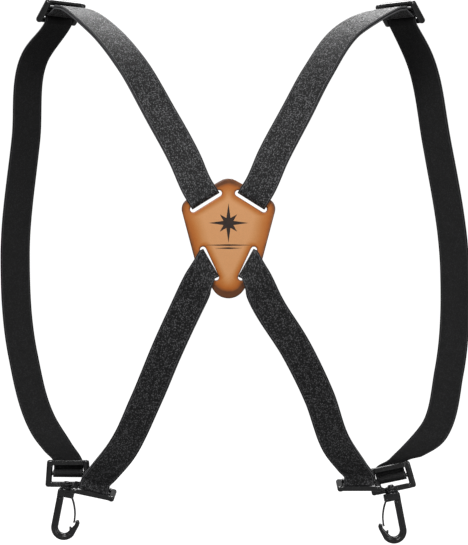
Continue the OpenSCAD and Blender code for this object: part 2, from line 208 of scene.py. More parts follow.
def foldLine(upper):                 # from the rear layer, through the slot, to the front layer
    along, out = slotPlace(upper)[1:]
    points = []
    for a in range(80, -81, -10):
        r = math.radians(a)
        p = foldMiddle(upper) - out * foldRadius * math.cos(r) + Vector((0, foldRadius * math.sin(r), 0))
        points.append([p, along, 1])
    return points


def upperLine(k):                    # sewn turn, rear layer, yoke slot, front layer, hump over the middle bar
    a = foldMiddle(True)
    b = crestArc(k, runRadius - layer / 2 - webbing["drop"], -shoulder["stillEnd"])
    along, out = slotPlace(True)[1:]
    x = crestDir((1, 0, 0))
    barAngle = math.degrees(math.asin((shoulder["barPitch"] + 0.5) / runRadius))
    entries = [[a, along, 1], [a + shield["upperStraight"] * out, along, 0.8]]
    for i, p in enumerate(viaPoints(a, b, k, "upper")):
        entries.append([p, along.lerp(x, (i + 1) / 5), 0])
    for i in range(5):
        angle = shoulder["stillEnd"] + (barAngle + 3 - shoulder["stillEnd"]) * i / 4
        drop = webbing["drop"] * (1 - i / 4) ** 0.7
        entries.append([crestArc(k, runRadius - layer / 2 - drop, -angle), x, 0])
    mid = smoothLine(entries, webbing["step"])
    turn = [(-shoulder["barPitch"] - 0.5, -wrapRadius - layer - 1), (-5, -wrapRadius - layer + 0.2)]
    turn += arcPoints(wrapRadius, 255, 560, 24)
    hump = [(-shoulder["barPitch"] - 0.3, dipHeight)]
    hump += arcPoints(overRadius, 170, 90, 8)
    rear = [[onCrest(k, u, n), x, 1] for u, n in turn]
    front = [[onCrest(k, u, n), x, 1] for u, n in hump]
    return (rear[::-1] + easedOff(mid, -foldRadius, -layer / 2, -layer / 2)[::-1]
            + foldLine(True) + easedOff(mid, foldRadius, layer / 2, layer / 2) + front)


def outerLine(k):                    # hump, shoulder, down the side, sewn turn round the outer buckle's bar
    x = crestDir((1, 0, 0))
    hipX = turned("Y", hip["outerTurn"][k], (1, 0, 0))
    back = shoulder["barRadius"] + hip["outerBack"] + webbing["thick"] / 2
    pitch = shoulder["barPitch"]
    a = crestArc(k, runRadius, 17)
    b = onOuter(k, (0, back, pitch))
    hump = arcPoints(overRadius, 90, 10, 8) + [(pitch + 0.3, dipHeight)]
    entries = [[onCrest(k, u, n), x, 1] for u, n in hump] + [[a, x, 1]]
    via = viaPoints(a, b, k, "outer")
    for i, p in enumerate(via):
        entries.append([p, x.lerp(hipX, (i + 1) / 6), 0.2 if i == 4 else 0])
    bulge = hip["outerBulge"][k]
    near = b + hip["outerStraight"] * (via[4] - b).normalized() + Vector((bulge, 0, -bulge / 3))
    entries += [[near, hipX, 0.6], [b, hipX, 1]]
    entries += [[onOuter(k, (0, y, z)), hipX, 1] for y, z in arcPoints(wrapRadius, 50, 360, 20)]
    entries += [[onOuter(k, (0, back + layer, pitch * z)), hipX, 1] for z in hip["sewnTail"]]
    return smoothLine(entries, webbing["step"])


def lowerLine(k):                    # a loop through the yoke's slot and round the inner buckle's bar
    a = foldMiddle(False)
    b = onInner(k, (0, 0, hip["innerEnd"]))
    along = slotPlace(False)[1]
    x = turned("Y", hip["innerTurn"][k], (1, 0, 0))
    via = viaPoints(a, b, k, "lower")
    away = Vector((via[0].x - a.x, 0, via[0].z - a.z)).normalized()
    entries = [[a, along, 1], [a + shield["lowerStraight"] * away, along, 0.7]]
    for i, p in enumerate(via):
        entries.append([p, along.lerp(x, (i + 1) / 5), 0.3 if i == 3 else 0])
    near = b + hip["innerStraight"] * (via[3] - b).normalized()
    entries += [[near, x, 0.7], [b, x, 1], [onInner(k, (0, 0, 0)), x, 1]]
    mid = smoothLine(entries, webbing["step"])
    ring = [[onInner(k, (0, y, z)), x, 1] for y, z in arcPoints(wrapRadius, 195, 345, 14)]
    return (easedOff(mid, -foldRadius, -layer / 2, -wrapRadius) + ring
            + easedOff(mid, foldRadius, layer / 2, wrapRadius)[::-1] + foldLine(False))


# small modelling helpers
def freshStart():
    if bpy.context.object and bpy.context.object.mode != "OBJECT":
        bpy.ops.object.mode_set(mode="OBJECT")
    bpy.ops.object.select_all(action="DESELECT")


def only(obj):
    freshStart()
    obj.select_set(True)
    bpy.context.view_layer.objects.active = obj


def applyModifier(obj, kind, **values):
    only(obj)
    modifier = obj.modifiers.new(kind.lower(), kind)
    for key, value in values.items():
        setattr(modifier, key, value)
    bpy.ops.object.modifier_apply(modifier=modifier.name)


def joined(name, parts):
    freshStart()
    for part in parts:
        part.select_set(True)
    bpy.context.view_layer.objects.active = parts[0]
    if len(parts) > 1:
        bpy.ops.object.join()
    parts[0].name = name
    parts[0].data.name = name
    return parts[0]


def addBox(size, at=(0, 0, 0), bevel=0.6, turn=0):
    freshStart()
    bpy.ops.mesh.primitive_cube_add(size=mm, location=Vector(at) * mm, rotation=(0, 0, math.radians(turn)))
    box = bpy.context.object
    box.scale = size
    bpy.ops.object.transform_apply(location=True, rotation=True, scale=True)
    bpy.ops.object.mode_set(mode="EDIT")
    bpy.ops.mesh.bevel(offset=bevel * mm, segments=3, affect="EDGES")
    bpy.ops.object.mode_set(mode="OBJECT")
    return box


def addRod(radius, length, at=(0, 0, 0), axis="X", vertices=32):
    freshStart()
    spin = {"X": (0, math.pi / 2, 0), "Y": (math.pi / 2, 0, 0), "Z": (0, 0, 0)}[axis]
    bpy.ops.mesh.primitive_cylinder_add(vertices=vertices, radius=radius * mm, depth=length * mm,
                                        location=Vector(at) * mm, rotation=spin)
    rod = bpy.context.object
    bpy.ops.object.transform_apply(location=True, rotation=True, scale=True)
    return rod


def outlinePlate(name, points, low, high):    # an upright plate with this outline, from y low to y high
    freshStart()
    bpy.ops.mesh.primitive_circle_add(vertices=len(points), radius=mm, fill_type="NGON")
    plate = bpy.context.object
    for v, (x, z) in zip(plate.data.vertices, points):
        v.co = Vector((x, low, z)) * mm
    bpy.ops.object.mode_set(mode="EDIT")
    bpy.ops.mesh.select_all(action="SELECT")
    bpy.ops.mesh.extrude_region_move(TRANSFORM_OT_translate={"value": (0, (high - low) * mm, 0)})
    bpy.ops.mesh.select_all(action="SELECT")
    bpy.ops.mesh.normals_make_consistent(inside=False)
    bpy.ops.object.mode_set(mode="OBJECT")
    plate.name = name
    return plate


def softened(obj, width, segments=4, angle=60):
    applyModifier(obj, "BEVEL", width=width * mm, segments=segments, limit_method="ANGLE",
                  angle_limit=math.radians(angle))


def cutAway(obj, cutter, **looks):
    applyModifier(obj, "BOOLEAN", operation="DIFFERENCE", object=cutter, solver="EXACT", **looks)
    bpy.data.objects.remove(cutter, do_unlink=True)


def moulded(obj, voxel=0.26, rounds=3):       # runs the parts of a moulding into one skin with small fillets
    applyModifier(obj, "REMESH", mode="VOXEL", voxel_size=voxel * mm, use_smooth_shade=True)
    applyModifier(obj, "SMOOTH", factor=0.5, iterations=rounds)


def settle(obj, k, matrix=None):              # from its own frame to its place, mirrored for the left side
    m = (matrix or Matrix.Identity(4)).copy()
    m.translation = m.translation * mm
    if k == 0:
        m = Matrix.Diagonal((-1, 1, 1, 1)) @ m
    obj.data.transform(m)
    if m.determinant() < 0:
        obj.data.flip_normals()
    obj.data.update()


def turnMatrix(axis, degrees):
    return Matrix.Rotation(math.radians(degrees), 4, axis)


def dressed(obj, material, body, slotName, *nodes):
    if material:
        obj.data.materials.clear()
        obj.data.materials.append(material)
    if body:
        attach(obj, body)
    if nodes:
        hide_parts(*nodes)


# node helpers and shared effects
def addNode(tree, kind, **values):
    node = tree.nodes.new(kind)
    for key, value in values.items():
        if key.startswith("in_"):
            name = key[3:].replace("_", " ")
            node.inputs[int(name) if name.isdigit() else name].default_value = value
        else:
            setattr(node, key, value)
    return node


def math2(tree, operation, a, b=None):
    node = addNode(tree, "ShaderNodeMath", operation=operation)
    for i, value in enumerate((a, b)):
        if value is None:
            continue
        if isinstance(value, (int, float)):
            node.inputs[i].default_value = value
        else:
            tree.links.new(value, node.inputs[i])
    return node.outputs[0]


def startGroup(name, inputs, outputs):
    group = bpy.data.node_groups.new(name, "ShaderNodeTree")
    for label, kind, value in inputs:
        socket = group.interface.new_socket(name=label, in_out="INPUT", socket_type=kind)
        if value is not None:
            socket.default_value = value
    for label, kind in outputs:
        group.interface.new_socket(name=label, in_out="OUTPUT", socket_type=kind)
    return group, group.nodes.new("NodeGroupInput"), group.nodes.new("NodeGroupOutput")


def makeRibWeave():
    # ribs across the strap, crossed by finer warp threads, with a darker selvage band that is partly painted
    # shade of the rear layer, a painted highlight line inside it and a painted highlight along the very edge;
    # Vector holds the place across and along the strap
    group, start, end = startGroup(
        "ribWeave",
        [("Vector", "NodeSocketVector", None), ("Rib Pitch", "NodeSocketFloat", 0.0009),
         ("Warp Pitch", "NodeSocketFloat", 0.0007), ("Half Width", "NodeSocketFloat", 0.0125),
         ("Selvage", "NodeSocketFloat", 0.0013), ("Line Width", "NodeSocketFloat", 0.00035)],
        [("Height", "NodeSocketFloat"), ("Speckle", "NodeSocketFloat"), ("Edge", "NodeSocketFloat"),
         ("Line", "NodeSocketFloat"), ("Rim Highlight", "NodeSocketFloat")])
    split = addNode(group, "ShaderNodeSeparateXYZ")
    group.links.new(start.outputs["Vector"], split.inputs[0])
    across = math2(group, "DIVIDE", split.outputs["X"], start.outputs["Warp Pitch"])
    along = math2(group, "DIVIDE", split.outputs["Y"], start.outputs["Rib Pitch"])
    column = math2(group, "FLOOR", across)
    odd = math2(group, "MULTIPLY", math2(group, "MODULO", math2(group, "ABSOLUTE", column), 2), 0.5)
    shifted = math2(group, "ADD", along, odd)
    rib = math2(group, "ABSOLUTE", math2(group, "SINE", math2(group, "MULTIPLY", shifted, math.pi)))
    warp = math2(group, "ABSOLUTE", math2(group, "SINE", math2(group, "MULTIPLY", across, math.pi)))
    height = math2(group, "MULTIPLY", math2(group, "POWER", rib, 0.6), math2(group, "POWER", warp, 0.4))
    cell = addNode(group, "ShaderNodeCombineXYZ")
    group.links.new(column, cell.inputs[0])
    group.links.new(math2(group, "FLOOR", shifted), cell.inputs[1])
    noise = addNode(group, "ShaderNodeTexWhiteNoise", noise_dimensions="2D")
    group.links.new(cell.outputs[0], noise.inputs["Vector"])
    fromMiddle = math2(group, "ABSOLUTE", split.outputs["X"])
    inset = math2(group, "SUBTRACT", start.outputs["Half Width"], fromMiddle)
    # a thin pale line inside the selvage: a painted highlight on the front layer's edge
    fromLine = math2(group, "ABSOLUTE", math2(group, "SUBTRACT", inset, start.outputs["Selvage"]))
    line = math2(group, "SUBTRACT", 1, math2(group, "DIVIDE", fromLine, start.outputs["Line Width"]))
    group.links.new(height, end.inputs["Height"])
    group.links.new(noise.outputs["Value"], end.inputs["Speckle"])
    # Edge: the selvage band, darkened partly for the selvage's own tone and partly as painted shade of the
    # rear layer
    group.links.new(math2(group, "LESS_THAN", inset, start.outputs["Selvage"]), end.inputs["Edge"])
    group.links.new(math2(group, "MAXIMUM", line, 0), end.inputs["Line"])
    # Rim Highlight: the strap's very edge, painted pale as a highlight
    group.links.new(math2(group, "LESS_THAN", inset, 0.0002), end.inputs["Rim Highlight"])
    return group


def makeGrain():
    # pebbled grain with a slow blotch: for leather, moulded plastic and plated metal
    group, start, end = startGroup(
        "surfaceGrain",
        [("Vector", "NodeSocketVector", None), ("Scale", "NodeSocketFloat", 900),
         ("Blotch Scale", "NodeSocketFloat", 40)],
        [("Height", "NodeSocketFloat"), ("Blotch", "NodeSocketFloat")])
    pebbles = addNode(group, "ShaderNodeTexVoronoi", feature="SMOOTH_F1", in_Smoothness=0.6)
    fine = addNode(group, "ShaderNodeTexNoise", in_Detail=4)
    slow = addNode(group, "ShaderNodeTexNoise", in_Detail=5, in_Roughness=0.6)
    for texture in (pebbles, fine, slow):
        group.links.new(start.outputs["Vector"], texture.inputs["Vector"])
    group.links.new(start.outputs["Scale"], pebbles.inputs["Scale"])
    group.links.new(math2(group, "MULTIPLY", start.outputs["Scale"], 2.5), fine.inputs["Scale"])
    group.links.new(start.outputs["Blotch Scale"], slow.inputs["Scale"])
    height = math2(group, "ADD", math2(group, "MULTIPLY", pebbles.outputs["Distance"], 0.7),
                   math2(group, "MULTIPLY", fine.outputs["Fac"], 0.5))
    group.links.new(height, end.inputs["Height"])
    group.links.new(slow.outputs["Fac"], end.inputs["Blotch"])
    return group


ribWeave = makeRibWeave()
surfaceGrain = makeGrain()


def startMaterial(name):
    material = bpy.data.materials.new(name)
    material.use_nodes = True
    tree = material.node_tree
    shader = tree.nodes["Principled BSDF"]
    return material, tree, shader


def ramp(tree, value, stops):
    node = addNode(tree, "ShaderNodeValToRGB")
    while len(node.color_ramp.elements) < len(stops):
        node.color_ramp.elements.new(0.5)
    for element, (place, colour) in zip(node.color_ramp.elements, stops):
        element.position = place
        element.color = (*colour, 1)
    tree.links.new(value, node.inputs["Fac"])
    return node.outputs["Color"]


def mixColour(tree, factor, a, b):
    node = addNode(tree, "ShaderNodeMix", data_type="RGBA")
    sockets = [node.inputs[0], node.inputs[6], node.inputs[7]]    # the factor and the two colours
    for socket, value in zip(sockets, (factor, a, b)):
        if isinstance(value, (int, float)):
            socket.default_value = value
        elif isinstance(value, tuple):
            socket.default_value = (*value, 1)
        else:
            tree.links.new(value, socket)
    return node.outputs[2]


def addBump(tree, height, shader, distance, strength=1.0):
    bump = addNode(tree, "ShaderNodeBump")
    bump.inputs["Distance"].default_value = distance
    bump.inputs["Strength"].default_value = strength
    tree.links.new(height, bump.inputs["Height"])
    tree.links.new(bump.outputs["Normal"], shader.inputs["Normal"])


def webbingMaterial(name, dark, light, ribPitch, sheen, rough, line):
    # line is the colour of the painted highlights along the strap's edges
    material, tree, shader = startMaterial(name)
    uv = addNode(tree, "ShaderNodeUVMap", uv_map="webbing")
    weave = addNode(tree, "ShaderNodeGroup", node_tree=ribWeave)
    tree.links.new(uv.outputs["UV"], weave.inputs["Vector"])
    weave.inputs["Rib Pitch"].default_value = ribPitch
    blotch = addNode(tree, "ShaderNodeTexNoise", in_Scale=55, in_Detail=4)
    tree.links.new(uv.outputs["UV"], blotch.inputs["Vector"])
    speckle = math2(tree, "MULTIPLY", math2(tree, "POWER", weave.outputs["Speckle"], 4),
                    math2(tree, "ADD", blotch.outputs["Fac"], 0.35))
    body = ramp(tree, speckle, [(0, dark), (1, light)])
    # painted shade: the weave's grooves, where its height is low, are darkened
    grooveShade = math2(tree, "MULTIPLY", math2(tree, "SUBTRACT", 1, weave.outputs["Height"]), 0.75)
    threads = mixColour(tree, grooveShade, body, tuple(c * 0.3 for c in dark))
    # a darker selvage band: partly the selvage's own tone, partly painted shade of the rear layer at the edge
    selvageAndShade = mixColour(tree, math2(tree, "MULTIPLY", weave.outputs["Edge"], 0.8), threads,
                      tuple(c * 0.35 for c in dark))
    # painted highlights: a pale line inside the selvage and another along the very edge, in the colour line
    highlightLined = mixColour(tree, math2(tree, "MULTIPLY", weave.outputs["Line"], 0.6), selvageAndShade, line)
    tree.links.new(mixColour(tree, math2(tree, "MULTIPLY", weave.outputs["Rim Highlight"], 0.5), highlightLined, line),
                   shader.inputs["Base Color"])
    roughness = math2(tree, "SUBTRACT", rough, math2(tree, "MULTIPLY", weave.outputs["Speckle"], 0.16))
    tree.links.new(roughness, shader.inputs["Roughness"])
    shader.inputs["Specular IOR Level"].default_value = 0.28
    shader.inputs["Sheen Weight"].default_value = sheen
    shader.inputs["Sheen Roughness"].default_value = 0.4
    addBump(tree, weave.outputs["Height"], shader, 0.00018, 0.9)
    return material


def leatherMaterial():
    material, tree, shader = startMaterial("tanLeather")
    where = addNode(tree, "ShaderNodeTexCoord")
    grain = addNode(tree, "ShaderNodeGroup", node_tree=surfaceGrain)
    tree.links.new(where.outputs["Object"], grain.inputs["Vector"])
    grain.inputs["Scale"].default_value = 1500
    grain.inputs["Blotch Scale"].default_value = 60
    near = addNode(tree, "ShaderNodeAttribute", attribute_name="rimDistance")
    wobble = math2(tree, "MULTIPLY", math2(tree, "SUBTRACT", grain.outputs["Blotch"], 0.5), 0.35)
    rim = math2(tree, "ADD", near.outputs["Fac"], wobble)
    colour = ramp(tree, rim, [(0.0, (0.09, 0.02, 0.003)), (0.06, (0.27, 0.068, 0.006)),
                              (0.2, (0.50, 0.125, 0.006)), (0.45, (0.60, 0.20, 0.035)),
                              (0.75, (0.72, 0.32, 0.11)), (1.0, (0.80, 0.39, 0.165))])
    blotched = mixColour(tree, math2(tree, "MULTIPLY", grain.outputs["Blotch"], 0.25), colour,
                         (0.52, 0.22, 0.07))
    # painted shade: the grain's pits, where its height is low, are darkened
    sunk = math2(tree, "SUBTRACT", 0.75, grain.outputs["Height"])
    pitShaded = mixColour(tree, math2(tree, "MULTIPLY", sunk, 0.25), blotched, (0.20, 0.07, 0.015))
    tree.links.new(pitShaded, shader.inputs["Base Color"])
    rough = math2(tree, "ADD", 0.34, math2(tree, "MULTIPLY", grain.outputs["Height"], 0.16))
    tree.links.new(rough, shader.inputs["Roughness"])
    shader.inputs["Coat Weight"].default_value = 0.12
    shader.inputs["Coat Roughness"].default_value = 0.3
    addBump(tree, grain.outputs["Height"], shader, 0.00007, 0.8)
    return material


def darkMaterial(name, colour, light, rough, metallic=0.0, grainScale=1800, bump=0.00002, coat=0.0):
    material, tree, shader = startMaterial(name)
    where = addNode(tree, "ShaderNodeTexCoord")
    grain = addNode(tree, "ShaderNodeGroup", node_tree=surfaceGrain)
    tree.links.new(where.outputs["Object"], grain.inputs["Vector"])
    grain.inputs["Scale"].default_value = grainScale
    grain.inputs["Blotch Scale"].default_value = 260
    tree.links.new(ramp(tree, grain.outputs["Blotch"], [(0.3, colour), (0.75, light)]),
                   shader.inputs["Base Color"])
    change = math2(tree, "MULTIPLY", math2(tree, "SUBTRACT", grain.outputs["Blotch"], 0.5), 0.3)
    tree.links.new(math2(tree, "ADD", rough, change), shader.inputs["Roughness"])
    shader.inputs["Metallic"].default_value = metallic
    shader.inputs["Coat Weight"].default_value = coat
    addBump(tree, grain.outputs["Height"], shader, bump, 0.7)
    return material


materials = dict(
    # line sets the colour of each webbing's painted edge highlights
    upper=webbingMaterial("elasticRibbed", dark=(0.007, 0.007, 0.0075), light=(0.23, 0.23, 0.24),
                          ribPitch=0.0009, sheen=0.07, rough=0.5, line=(0.20, 0.20, 0.21)),
    # the outer straps' darker copy of the elastic: partly its own smoother weave, partly painted shade
    outer=webbingMaterial("elasticSmoothAndShaded", dark=(0.006, 0.006, 0.0065), light=(0.022, 0.022, 0.024),
                          ribPitch=0.0008, sheen=0.06, rough=0.62, line=(0.09, 0.09, 0.095)),
    leather=leatherMaterial(),
    stamp=darkMaterial("burntStamp", (0.012, 0.006, 0.004), (0.04, 0.018, 0.01), 0.6, grainScale=2500,
                       bump=0.00004),
    plastic=darkMaterial("mouldedPlastic", (0.006, 0.006, 0.0065), (0.014, 0.014, 0.015), 0.24, coat=0.5),
    leaf=darkMaterial("gateLeaf", (0.010, 0.010, 0.0105), (0.03, 0.03, 0.031), 0.27, coat=0.2),
    metal=darkMaterial("platedSteel", (0.10, 0.10, 0.105), (0.22, 0.22, 0.225), 0.28, metallic=1.0),
    thread=darkMaterial("blackThread", (0.02, 0.02, 0.021), (0.07, 0.07, 0.072), 0.5, grainScale=3500,
                        bump=0.00005))
print("materials ready")


# camera, lights and floor
studio = dict(distance=1.2, shift=(0.0043, -0.0265), frameHeight=0.4251, sensor=36,
              floor=-0.32, floorSize=14, floorBounce=0.25, ambient=0.22, backdrop=1.05,
              lamps=(("keyLight", (-0.45, -0.9, 0.95), 0.5, 13), ("fillLight", (0.9, -1.0, 0.25), 0.7, 5),
                     ("rimLight", (0.1, 0.7, 1.0), 0.6, 10)))


def setStudio():
    freshStart()
    x, z = studio["shift"]
    bpy.ops.object.camera_add(location=(x, -studio["distance"], z), rotation=(math.pi / 2, 0, 0))
    camera = bpy.context.object
    camera.data.sensor_width = studio["sensor"]
    camera.data.lens = studio["sensor"] * studio["distance"] / studio["frameHeight"]
    bpy.context.scene.camera = camera
    bpy.context.scene.view_settings.view_transform = "Standard"
    bpy.ops.mesh.primitive_plane_add(size=studio["floorSize"], location=(0, 0, studio["floor"]))
    floor = bpy.context.object
    floor.name = "studioFloor"
    material, tree, shader = startMaterial("paleFloor")
    shader.inputs["Base Color"].default_value = (*[studio["floorBounce"]] * 3, 1)
    shader.inputs["Roughness"].default_value = 0.9
    shader.inputs["Emission Color"].default_value = (1, 1, 1, 1)
    seen = addNode(tree, "ShaderNodeLightPath")       # pale to look at, without lighting from below
    tree.links.new(seen.outputs["Is Camera Ray"], shader.inputs["Emission Strength"])
    floor.data.materials.append(material)
    world = bpy.data.worlds.new("paleStudio")
    bpy.context.scene.world = world
    world.use_nodes = True
    tree = world.node_tree             # white behind the harness, dimmer where it lights it
    seen = addNode(tree, "ShaderNodeLightPath")
    strength = addNode(tree, "ShaderNodeMapRange")
    strength.inputs["To Min"].default_value = studio["ambient"]
    strength.inputs["To Max"].default_value = studio["backdrop"]
    tree.links.new(seen.outputs["Is Camera Ray"], strength.inputs["Value"])
    tree.links.new(strength.outputs["Result"], tree.nodes["Background"].inputs["Strength"])
    tree.nodes["Background"].inputs["Color"].default_value = (1, 1, 1, 1)
    for name, place, size, power in studio["lamps"]:
        bpy.ops.object.light_add(type="AREA", location=place)
        light = bpy.context.object
        light.name = name
        light.data.size = size
        light.data.energy = power
        light.rotation_euler = (-Vector(place)).to_track_quat("-Z", "Y").to_euler()


setStudio()
print("studio ready")


# webbing
drape = dict(edge=0.012, slow=0.12, slowPitch=13, quick=0.08, quickPitch=5.3,
             lift=0.10, liftPitch=17, across=9)


def layWebbing(name, line, k, material, closed=False, phase=0.0):
    f = framed(line, closed)
    if closed:
        f = f + [f[0]]
    rows, columns = len(f), webbing["columns"]
    freshStart()
    bpy.ops.mesh.primitive_grid_add(x_subdivisions=columns, y_subdivisions=rows - 1, size=1)
    strap = bpy.context.object
    mesh = strap.data
    run = runAlong(f)
    places = []
    half = webbing["width"] / 2 - webbing["sideTrim"]
    for v in mesh.vertices:
        i, j = round((v.co.x + 0.5) * columns), round((v.co.y + 0.5) * (rows - 1))
        p, w, n, t = f[j]
        u = (2 * i / columns - 1) * half
        ripple = (drape["slow"] * math.sin(run[j] / drape["slowPitch"] + phase)
                  + drape["quick"] * math.sin(run[j] / drape["quickPitch"] + 2 * phase))
        lift = drape["lift"] * math.sin(run[j] / drape["liftPitch"] + 3 * phase + u / drape["across"])
        places.append((u, run[j]))
        v.co = (p + w * (u * (1 + ripple * drape["edge"])) + n * lift) * mm
    layerOfUv = mesh.uv_layers.active or mesh.uv_layers.new()
    layerOfUv.name = "webbing"
    for loop in mesh.loops:
        u, s = places[loop.vertex_index]
        layerOfUv.data[loop.index].uv = (u * mm, s * mm)
    if closed:
        only(strap)
        bpy.ops.object.mode_set(mode="EDIT")
        bpy.ops.mesh.select_all(action="SELECT")
        bpy.ops.mesh.remove_doubles(threshold=0.02 * mm)
        bpy.ops.object.mode_set(mode="OBJECT")
    settle(strap, k)
    thickness = (webbing["thick"] - webbing["faceTrim"]) * mm
    applyModifier(strap, "SOLIDIFY", thickness=thickness, offset=0, use_even_offset=True)
    softened(strap, webbing["edge"], 3, 55)
    only(strap)
    bpy.ops.object.shade_smooth_by_angle(angle=math.radians(50))
    strap.name = strap.data.name = name
    strap.data.materials.append(material)
    return strap


stitching = dict(long=1.7, wide=0.5, high=0.35, sink=0.05, pitch=2.1, count=10, rows=(0, 2.2, 4.4))


def sewTack(name, line, start, face, k):      # rows of thread across a strap, from this far along its line
    f = framed(line)
    run = runAlong(f)
    freshStart()
    bpy.ops.mesh.primitive_ico_sphere_add(subdivisions=2, radius=mm / 2)
    master = bpy.context.object
    stitches = []
    for row in stitching["rows"]:
        s = start + row
        j = max(i for i in range(len(run) - 1) if run[i] <= s)
        t = (s - run[j]) / (run[j + 1] - run[j])
        p, w, n = (f[j][c].lerp(f[j + 1][c], t) for c in (0, 1, 2))
        ahead = w.cross(n).normalized()
        for i in range(stitching["count"]):
            u = (i - (stitching["count"] - 1) / 2) * stitching["pitch"]
            stitch = bpy.data.objects.new("stitch", master.data.copy())
            bpy.context.collection.objects.link(stitch)
            at = (p + w * u + n * face * (webbing["thick"] / 2 - stitching["sink"])) * mm
            axes = (w * stitching["long"], ahead * stitching["wide"], n * stitching["high"])
            m = Matrix.Identity(4)
            for c, axis in enumerate(axes):
                for r in range(3):
                    m[r][c] = axis[r]
                m[c][3] = at[c]
            stitch.data.transform(m)
            stitches.append(stitch)
    bpy.data.objects.remove(master, do_unlink=True)
    tack = joined(name, stitches)
    settle(tack, k)
    only(tack)
    bpy.ops.object.mode_set(mode="EDIT")
    bpy.ops.mesh.select_all(action="SELECT")
    bpy.ops.mesh.normals_make_consistent(inside=False)
    bpy.ops.object.mode_set(mode="OBJECT")
    bpy.ops.object.shade_smooth()
    return tack


def makeStraps(k):
    side = sides[k]
    outX = -1 if k == 0 else 1

    def place(p):
        return Vector((p.x * outX, p.y, p.z)) * mm

    still, moving = "harness", side + "_slider_set"
    upper = layWebbing(side + "_shoulder_webbing", upperLine(k), k, materials["upper"], phase=1.0 + k)
    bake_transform(upper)
    dressed(upper, None, None, "elastic_webbing", side + "_upper_strap", side + "_sewn_turn")
    tack = sewTack(side + "_shoulder_tack", upperLine(k), webbing["shoulderTack"], -1, k)
    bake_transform(tack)
    dressed(tack, materials["thread"], None, "elastic_webbing")
    outerRun = outerLine(k)
    outer = layWebbing(side + "_side_webbing", outerRun, k, materials["outer"], phase=2.2 + k)
    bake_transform(outer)
    dressed(outer, None, None, "elastic_webbing", side + "_outer_strap", side + "_slider_run")
    whole = sum((b[0] - a[0]).length for a, b in zip(outerRun, outerRun[1:]))
    tack = sewTack(side + "_hip_tack", outerRun, whole - webbing["hipTack"], 1, k)
    dressed(tack, materials["thread"], still, "elastic_webbing")
    lower = layWebbing(side + "_hip_webbing", lowerLine(k), k, materials["upper"], closed=True, phase=3.1 + k)
    dressed(lower, None, still, "elastic_webbing", side + "_lower_strap")
    print(side, "webbing laid")


for k in (0, 1):
    makeStraps(k)


# leather shield
yokeStyle = dict(top=12, bottom=14, shoulder=8.5, shoulderZ=23, waist=15, waistIn=25, waistZ=-14,
                 rim=0.8, voxel=0.55, crown=0.9, crownZ=2, rimReach=15, slotDark=0.03, slotFade=2.5,
                 darkerEnds=((-22, -46, 0.34), (24, 48, 0.3)), stampDeep=0.3,
                 starAt=12.0, starLong=15.5, starShort=9.5, starWaist=4.2,
                 lineAt=-5.2, lineLong=40, lineThick=0.65, lines=((0, 1.0), (2.4, 0.55)))


def hullOutline(circles):
    points = []
    for x, z, r in circles:
        for i in range(0, 360, 4):
            a = math.radians(i)
            points.append((x + r * math.cos(a), z + r * math.sin(a)))
    points = sorted(set(points))

    def chain(run):
        out = []
        for p in run:
            while len(out) > 1 and ((out[-1][0] - out[-2][0]) * (p[1] - out[-2][1])
                                    - (out[-1][1] - out[-2][1]) * (p[0] - out[-2][0])) <= 0:
                out.pop()
            out.append(p)
        return out[:-1]

    return chain(points) + chain(points[::-1])


def pillOutline(x, z, turn, length, wide):
    points = []
    a = math.radians(turn)
    for end in (1, -1):
        for i in range(13):
            b = math.radians(-90 + 15 * i) + (0 if end == 1 else math.pi)
            u, v = end * (length - wide) / 2 + wide / 2 * math.cos(b), wide / 2 * math.sin(b)
            points.append((x + u * math.cos(a) - v * math.sin(a), z + u * math.sin(a) + v * math.cos(a)))
    return points


def yokeOutlines():
    w, h = shield["width"] / 2, shield["height"] / 2
    top, bottom, waist = yokeStyle["top"], yokeStyle["bottom"], yokeStyle["waist"]
    circles = [(0, h - top, top), (0, bottom - h, bottom)]
    for s in (-1, 1):
        circles.append((s * (w - yokeStyle["shoulder"]), yokeStyle["shoulderZ"], yokeStyle["shoulder"]))
        circles.append((s * (w - yokeStyle["waistIn"]), yokeStyle["waistZ"], waist))
    rim = hullOutline(circles)
    slots = []
    for s in (-1, 1):
        for x, z, turn in (shield["upperSlot"], shield["lowerSlot"]):
            slots.append(pillOutline(s * x, z, -s * turn, webbing["width"] + shield["slotSpare"],
                                     shield["slotWide"]))
    return rim, slots


def awayFrom(outline, points):        # distance of each point from a closed outline
    a = np.array(outline)
    b = np.roll(a, -1, axis=0)
    best = np.full(len(points), 1e9)
    for p, q in zip(a, b):
        d = q - p
        t = np.clip(((points - p) @ d) / max(d @ d, 1e-12), 0, 1)
        best = np.minimum(best, np.linalg.norm(points - (p + t[:, None] * d), axis=1))
    return best


def starOutline():
    points = []
    for i in range(16):
        a = math.radians(90 + 22.5 * i)
        r = {0: yokeStyle["starLong"], 2: yokeStyle["starShort"]}.get(i % 4, yokeStyle["starWaist"])
        points.append((r * math.cos(a), yokeStyle["starAt"] + r * math.sin(a)))
    return points


